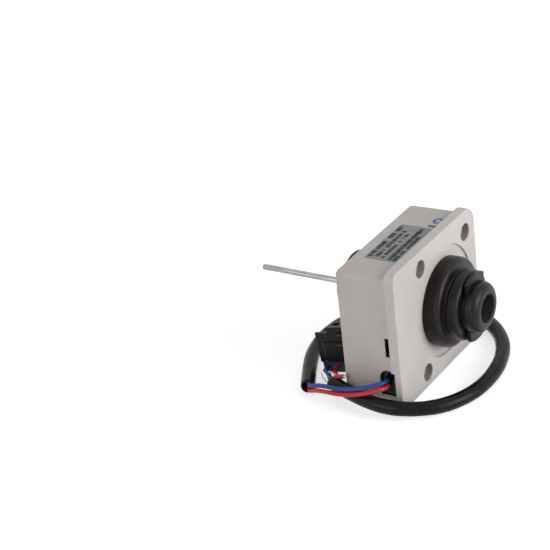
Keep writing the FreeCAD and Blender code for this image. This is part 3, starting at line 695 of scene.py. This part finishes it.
plugLook = {
    "color": (0.0075, 0.0070, 0.0072),
    "clouded": (0.0105, 0.0098, 0.0100),
    "marked": (0.030, 0.029, 0.030),
    "speck": (0.10, 0.10, 0.10),
    "roughness": 0.36,
    "specular": 0.16,
    "grainDepth": 0.00002,
}
# a lighter black for the plug's edges: painted highlight
plugGlintLook = {
    **plugLook,
    "color": (0.085, 0.082, 0.080),
    "clouded": (0.060, 0.058, 0.057),
    "marked": (0.12, 0.115, 0.11),
}
capLook = {
    "color": (0.030, 0.034, 0.056),
    "clouded": (0.040, 0.044, 0.066),
    "marked": (0.060, 0.064, 0.085),
    "speck": (0.16, 0.17, 0.20),
    "roughness": 0.36,
    "specular": 0.2,
    "grainDepth": 0.00002,
}
mouldedPlastic("plugBlack", plugLook)
mouldedPlastic("plugGlint", plugGlintLook)
mouldedPlastic("capGrey", capLook)

inkLooks = {
    # tone and roughness
    "printInk": ((0.010, 0.010, 0.011), 0.6),
    "penInk": ((0.022, 0.115, 0.30), 0.45),
    "bareStrand": ((0.75, 0.74, 0.76), 0.25),
}
inkShare = {"specular": 0.1, "lighter": 1.4, "lift": 0.004}


def flatInk(name, color, roughness, share=inkShare):
    # printed or penned ink or a bare tinned strand, a little uneven
    tree, shader = startFinish(name, color, roughness, specular=share["specular"])
    uneven = between(tree, cloudOf(tree, placeOf(tree), 2.5, 3.0, 0.6), 0.35, 0.7, 0.0, 0.5)
    lighter = tuple(min(1.0, share["lighter"] * tone + share["lift"]) for tone in color)
    tree.links.new(blendTones(tree, uneven, color, lighter), shader.inputs["Base Color"])


for name, look in inkLooks.items():
    flatInk(name, *look)
print("finishes ready,", len(finishes))

# Which finish each node of the model takes

nodeFinish = {
    "casePlastic": ["housing"],
    "coverPlastic": ["rear_cover"],
    "mountRubber": ["rear_rubber_mount", "front_rubber_mount"],
    "shaftSteel": ["shaft"],
    "springSteel": ["shaft_clip", "rear_bush_retainer", "front_bush_retainer"],
    "bushBronze": ["rear_bush", "front_bush"],
    "feltCloth": ["rear_oil_felt", "front_oil_felt"],
    "slidePlastic": ["thrust_pad"],
    "washerPlastic": ["rear_thrust_washer", "front_thrust_washer"],
    "magnetFerrite": ["rotor_magnet"],
    "hubPlastic": ["rotor_hub"],
    "coreSteel": ["stator_core"],
    "insulatorPlastic": ["front_insulator", "rear_insulator"],
    "coilCopper": ["coil_1", "coil_2", "coil_3", "coil_4", "coil_5", "coil_6"],
    "screwSteel": ["stator_screws"],
    "boardGreen": ["circuit_board"],
    "chipBlack": ["driver_chip", "hall_sensor"],
    "capacitorSleeve": ["filter_capacitor"],
    "resistorCoat": ["upper_resistor", "lower_resistor"],
    "headerPlastic": ["wire_header"],
    "labelFilm": ["label"],
    "sleeveBlack": ["wire_sleeve"],
    "wireBlue": ["blue_wire"],
    "wireRed": ["red_wire"],
    "plugBlack": ["connector_housing"],
    "capGrey": ["connector_cap"],
    "terminalTin": ["blue_terminal", "red_terminal"],
}
for finish, names in nodeFinish.items():
    for name in names:
        for place in cadNodes[name].material_slots:
            place.material = finishes[finish]
print("nodes finished,", sum(len(names) for names in nodeFinish.values()))

# Harness

harness = {
    "floor": -35.6,
    "sleeveRadius": 3.6,
    "sleeveWall": 0.85,
    "wireRadius": 1.1,
    "wireRise": 1.3,
    "leadIn": 2.4,
    "leadOut": 3.0,
    "sleeveRoute": [
        (-50.7, -51.0, 1.0), (-59.2, -36.0, 0.2), (-67.5, -18.0, 0.0), (-69.8, 3.0, 0.0),
        (-63.5, 23.5, 0.0), (-47.5, 38.5, 0.0), (-26.5, 46.5, 0.0), (-5.5, 44.5, 0.0),
        (12.0, 32.0, 0.0), (22.5, 14.5, 0.0), (27.0, -6.0, 0.0), (25.6, -26.5, 0.0),
        (16.2, -45.0, 0.6), (-1.5, -56.2, 2.3), (-21.0, -55.0, 3.8), (-38.4, -48.0, 4.4),
    ],
    "blueStart": [
        (-10.1, -38.75, -20.5), (-9.6, -42.6, -20.5), (-7.9, -47.6, -20.5), (-9.8, -52.8, -20.0),
        (-17.0, -57.2, -21.4), (-27.2, -59.3, -22.8), (-35.6, -57.3, -24.1), (-42.8, -54.6, -26.4),
    ],
    "redStart": [
        (-10.1, -38.75, -23.5), (-9.4, -42.6, -23.5), (-7.3, -47.8, -23.2), (-8.8, -53.4, -22.2),
        (-16.2, -58.2, -23.6), (-27.0, -60.0, -25.2), (-37.1, -58.2, -26.6), (-44.4, -55.4, -29.1),
    ],
    "blueTail": [(-43.6, -41.4, -29.4), (-48.2, -37.2, -29.4)],
    "redTail": [(-42.2, -41.6, -30.4), (-42.0, -37.0, -31.4)],
}
plug = {
    "foot": (-54.32, -30.7, -35.0),
    "turn": 2.0,
    "lean": -11.0,
    "tilt": -5.0,
    "capHeight": 5.7,
    "blueAcross": 3.4,
    "redAcross": 8.6,
    "wireApproach": -4.0,
    "wireEnd": 3.0,
}


def plugMatrix(look):
    # the plug's own frame: X across its front, Y into its depth and Z up from its foot, in millimetres
    turn = Matrix.Rotation(math.radians(look["turn"]), 4, "Z")
    lean = Matrix.Rotation(math.radians(look["lean"]), 4, "Y")
    tilt = Matrix.Rotation(math.radians(look["tilt"]), 4, "X")
    return Matrix.Translation(look["foot"]) @ turn @ lean @ tilt


def atPlug(points):
    # points of the plug's own frame, carried into the model's, in metres
    matrix = np.array(plugMatrix(plug))
    return (np.asarray(points, float) @ matrix[:3, :3].T + matrix[:3, 3]) * mm


def sleevePoints(look, rise=0.0):
    route = np.array(look["sleeveRoute"])
    route[:, 2] += look["floor"] + look["sleeveRadius"] + rise
    return route


def wirePoints(look, start, tail, rise, across):
    # from the board to the sleeve's mouth, along the sleeve above or below its middle, and on to the
    # plug's cap
    inside = sleevePoints(look, rise)
    first = inside[0] - inside[1]
    last = inside[-1] - inside[-2]
    mouth = inside[0] + look["leadIn"] * first / np.linalg.norm(first)
    outlet = inside[-1] + look["leadOut"] * last / np.linalg.norm(last)
    middle = plug["capHeight"] / 2
    ends = atPlug([(across, plug["wireApproach"], middle), (across, plug["wireEnd"], middle)]) / mm
    return np.vstack([start, [mouth], inside[1:-1], [outlet], tail, ends])


sleeveSkin = {
    "perRun": 16,
    "rings": 300,
    "sides": 48,
    "waves": [(0.008, 290.0, 0.0), (0.005, 713.0, 1.0)],  # share of the radius, rate along the line, start
    "cutBevel": 0.25,
    "flat": (0.02, 0.02, 180.0),  # middle, swing and rate
}
wireSkin = {"perRun": 14, "rings": 520, "sides": 20, "wave": (0.012, 410.0)}
shutRadius = 1e-6  # a profile's shut end, too small to be seen as a hole


def makeSleeve(look, skin=sleeveSkin):
    # a hollow tube along its route: out along its outer skin, over the cut end, and back along its bore;
    # it is a little flattened, more in some places than in others
    line = routeLine(sleevePoints(look) * mm, skin["perRun"])
    along = distanceAlong(line)
    stations = np.linspace(0.0, along[-1], skin["rings"])
    waves = sum(share * np.sin(stations * rate + start) for share, rate, start in skin["waves"])
    outer = look["sleeveRadius"] * mm * (1.0 + waves)
    outer[[0, -1]] -= skin["cutBevel"] * mm
    bore = np.full(len(stations), (look["sleeveRadius"] - look["sleeveWall"]) * mm)
    profile = np.concatenate([stations, stations[::-1]])
    radii = np.concatenate([outer, bore])
    middle, swing, rate = skin["flat"]
    flat = middle + swing * np.sin(profile * rate)
    finish = finishes["sleeveBlack"]
    sleeve = tubePiece("wireSleeve", line, profile, radii, skin["sides"], finish, flat)
    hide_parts("wire_sleeve")
    return sleeve, line


def shutProfile(along, rings, radii):
    # out along the skin, with both cut ends shut on the line
    stations = np.concatenate([[0.0], np.linspace(0.0, along[-1], rings), [along[-1]]])
    return stations, np.concatenate([[shutRadius], radii, [shutRadius]])


def makeWire(name, look, start, tail, rise, across, finish, node, skin=wireSkin):
    # a solid round wire
    line = routeLine(wirePoints(look, start, tail, rise, across) * mm, skin["perRun"])
    along = distanceAlong(line)
    share, rate = skin["wave"]
    stations = np.linspace(0.0, along[-1], skin["rings"])
    radii = look["wireRadius"] * mm * (1.0 + share * np.sin(stations * rate))
    profile, radii = shutProfile(along, skin["rings"], radii)
    wire = tubePiece(name, line, profile, radii, skin["sides"], finishes[finish], None, False)
    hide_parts(node)
    return wire, line


sleeve, sleeveLine = makeSleeve(harness)
blueWire, blueLine = makeWire(
    "blueLead", harness, harness["blueStart"], harness["blueTail"], harness["wireRise"], plug["blueAcross"],
    "wireBlue", "blue_wire",
)
redWire, redLine = makeWire(
    "redLead", harness, harness["redStart"], harness["redTail"], -harness["wireRise"], plug["redAcross"],
    "wireRed", "red_wire",
)
for wireName, line in (("sleeve", sleeveLine), ("blue", blueLine), ("red", redLine)):
    print(wireName, "line is", round(distanceAlong(line)[-1] / mm, 1), "mm long")

looseEnds = {
    # name, finish, slot, radius, sides and the points of its line
    "strandLong": (
        "bareStrand", "terminal_tin", 0.34, 10,
        [(-47.6, -42.6, -27.2), (-46.7, -44.0, -27.6), (-45.3, -45.0, -28.6), (-42.3, -46.5, -29.4),
         (-37.9, -48.0, -29.3)],
    ),
    "strandLoop": (
        "bareStrand", "terminal_tin", 0.34, 10,
        [(-43.0, -43.4, -25.4), (-41.7, -44.0, -24.2), (-39.8, -45.0, -24.6), (-36.9, -46.0, -24.2),
         (-35.2, -47.0, -23.6)],
    ),
    "redStub": (
        "wireRed", "wire_red", 1.1, 20,
        [(-36.6, -47.8, -24.2), (-35.0, -48.2, -23.7), (-32.6, -48.9, -22.6), (-30.8, -49.2, -22.0)],
    ),
}
endSkin = {"perRun": 10, "rings": 40}
stubCore = {"radius": 0.62, "sides": 16, "length": 0.7}


def makeEnd(name, finish, slot, radius, sides, points, skin=endSkin):
    # a short round rod along a smooth line, shut at both ends
    line = routeLine(np.array(points) * mm, skin["perRun"])
    radii = np.full(skin["rings"], radius * mm)
    profile, radii = shutProfile(distanceAlong(line), skin["rings"], radii)
    tubePiece(name, line, profile, radii, sides, finishes[finish], None, False)


def makeStubCore(look, before, end):
    # the bare core in the stub's cut end, as far out of it as it reaches in
    reach = look["length"] * (end - before) / np.linalg.norm(end - before)
    points = [end - reach, end, end + reach]
    makeEnd("stubCore", "bareStrand", "terminal_tin", look["radius"], look["sides"], points)


for name, row in looseEnds.items():
    makeEnd(name, *row)
makeStubCore(stubCore, *np.array(looseEnds["redStub"][-1][-2:]))

boxFloor = [[0, 0, 0], [1, 0, 0], [1, 1, 0], [0, 1, 0]]
boxCorners = np.array(boxFloor + [[x, y, 1] for x, y, _ in boxFloor])
boxSides = np.array([[0, 3, 2, 1], [4, 5, 6, 7], [0, 1, 5, 4], [1, 2, 6, 5], [2, 3, 7, 6], [3, 0, 4, 7]])


def boxFaces(count):
    # the sides of that many boxes, whose points are eight corners each in the order of boxCorners
    return (np.arange(count)[:, None, None] * len(boxCorners) + boxSides[None]).reshape(-1, 4)


plugEdges = [
    # each moulded edge on the plug's face, as a raised strip in a lighter black that paints its glint as a
    # painted highlight: its box across, in depth and in height, in the plug's frame
    ((4.3, 4.75), (-1.05, -0.7), (9.0, 16.2)),
    ((12.9, 15.4), (-1.15, -0.8), (19.9, 20.35)),
    ((12.2, 15.4), (-1.15, -0.8), (14.6, 15.0)),
    ((6.2, 6.55), (-0.25, 0.05), (16.6, 20.2)),
    ((2.9, 4.6), (-0.2, 0.1), (5.8, 6.4)),
]


def makePlugEdges(boxes):
    # every edge is one box: its eight corners are the low or high value of each of its three spans
    spans = np.array(boxes)
    points = np.stack([spans[:, k, :][:, boxCorners[:, k]] for k in range(3)], axis=-1).reshape(-1, 3)
    faces = boxFaces(len(spans))
    # the lighter finish is a painted highlight along the plug's edges
    makePiece("plugEdges", atPlug(points), faces, finishes["plugGlint"], "stator", smooth=False)


makePlugEdges(plugEdges)

print("harness ready")

# Marks on the top face

topFace = {"rear": -5.2, "height": 33.4, "draft": 1.0, "labelThickness": 0.12}


def onTop(x, y, lift, look=topFace):
    # a point that far above the drafted top face, in metres
    height = look["height"] + (x - look["rear"]) * math.tan(math.radians(look["draft"])) + lift
    return np.stack([x, y, height], axis=-1) * mm


def thinBars(centres, sizes, lift, thickness):
    # flat bars on the top face: every bar is one box whose eight corners are its centre plus half its sides
    x = centres[:, None, 0] + sizes[:, None, 0] * (boxCorners[None, :, 0] - 0.5)
    y = centres[:, None, 1] + sizes[:, None, 1] * (boxCorners[None, :, 1] - 0.5)
    points = onTop(x, y, lift + thickness * boxCorners[None, :, 2]).reshape(-1, 3)
    return points, boxFaces(len(centres))


labelPrint = {
    "front": -26.4,
    "depth": 17.4,
    "near": -29.2,
    "length": 37.3,
    "rows": [  # share across, start and end share along, height, and the shares between which no bar stands
        (0.140, 0.07, 0.95, 2.70, (0.50, 0.60)),
        (0.340, 0.06, 0.84, 2.20, (0.30, 0.34)),
        (0.530, 0.07, 0.76, 2.10, (0.56, 0.62)),
        (0.765, 0.05, 0.95, 2.60, (2.0, 2.0)),
        (0.915, 0.04, 0.74, 1.90, (0.33, 0.37)),
    ],
    "pitch": 1.10,
    "skipped": 0.07,
    "widths": (0.62, 0.88),
    "heights": [0.78, 0.90, 1.0],
    "stray": 0.12,
    "lift": 0.002,
    "thickness": 0.012,
    "seed": 7,
}


def makeLabelPrint(look):
    # rows of short bars, as print looks from a step away: seeded widths and heights on an even pitch along Y
    random = np.random.default_rng(look["seed"])
    centres, sizes = [], []
    for share, start, end, height, gap in look["rows"]:
        first = look["near"] + start * look["length"]
        last = look["near"] + end * look["length"]
        y = np.arange(first, last, look["pitch"])
        part = (y - look["near"]) / look["length"]
        keep = (random.random(len(y)) > look["skipped"]) & ((part < gap[0]) | (part > gap[1]))
        y = y[keep]
        wide = random.uniform(*look["widths"], len(y)) * look["pitch"]
        high = height * random.choice(look["heights"], len(y))
        x = look["front"] + share * look["depth"] + random.uniform(-look["stray"], look["stray"], len(y))
        centres.append(np.stack([x, y], axis=-1))
        sizes.append(np.stack([high, wide], axis=-1))
    lift = topFace["labelThickness"] + look["lift"]
    points, faces = thinBars(np.vstack(centres), np.vstack(sizes), lift, look["thickness"])
    makePiece("labelPrint", points, faces, finishes["printInk"], "stator", smooth=False)


penMark = {
    "barAlong": (-12.9, -7.6),
    "barAcross": 10.6,
    "barSteps": 12,
    "barWidth": 1.7,
    "ringMiddle": (-10.4, 16.8),
    "ringHalf": (1.75, 2.3),
    "ringTurn": (0.35, 5.6),
    "ringSteps": 40,
    "ringWidth": 1.15,
    "lift": 0.004,
    "thickness": 0.012,
    "tipSteps": 3.0,
}


def makeStroke(name, line, width, look):
    # a pen stroke: a flat ribbon of that width along a line on the top face, with tapered tips, closed
    # all round
    ahead = np.gradient(line, axis=0)
    ahead /= np.linalg.norm(ahead, axis=1, keepdims=True)
    across = np.stack([-ahead[:, 1], ahead[:, 0]], axis=-1)
    steps = np.arange(len(line)) + 1
    taper = width * 0.5 * np.clip(np.minimum(steps, steps[::-1]) / look["tipSteps"], 0.5, 1.0)
    left = line + across * taper[:, None]
    right = line - across * taper[:, None]
    top = look["lift"] + look["thickness"]
    loop = [(left, look["lift"]), (right, look["lift"]), (right, top), (left, top)]
    points = np.stack([onTop(side[:, 0], side[:, 1], lift) for side, lift in loop], axis=1).reshape(-1, 3)
    quads, _, _ = gridQuads(len(line), 4, False, True)
    ends = np.array([[0, 1, 2, 3], [len(points) - 1, len(points) - 2, len(points) - 3, len(points) - 4]])
    faces = np.vstack([quads, ends])
    if facesInward(points, faces):
        faces = faces[:, ::-1]
    makePiece(name, points, faces, finishes["penInk"], "stator", smooth=False)


def makePenMark(look):
    # a bar and an open curl beside it
    barX = np.linspace(*look["barAlong"], look["barSteps"])
    bar = np.stack([barX, np.full(len(barX), look["barAcross"])], axis=-1)
    makeStroke("penBar", bar, look["barWidth"], look)
    turn = np.linspace(*look["ringTurn"], look["ringSteps"])
    circle = np.stack([np.cos(turn), np.sin(turn)], axis=-1)
    makeStroke("penRing", look["ringMiddle"] + look["ringHalf"] * circle, look["ringWidth"], look)


makeLabelPrint(labelPrint)
makePenMark(penMark)
print("marks ready")
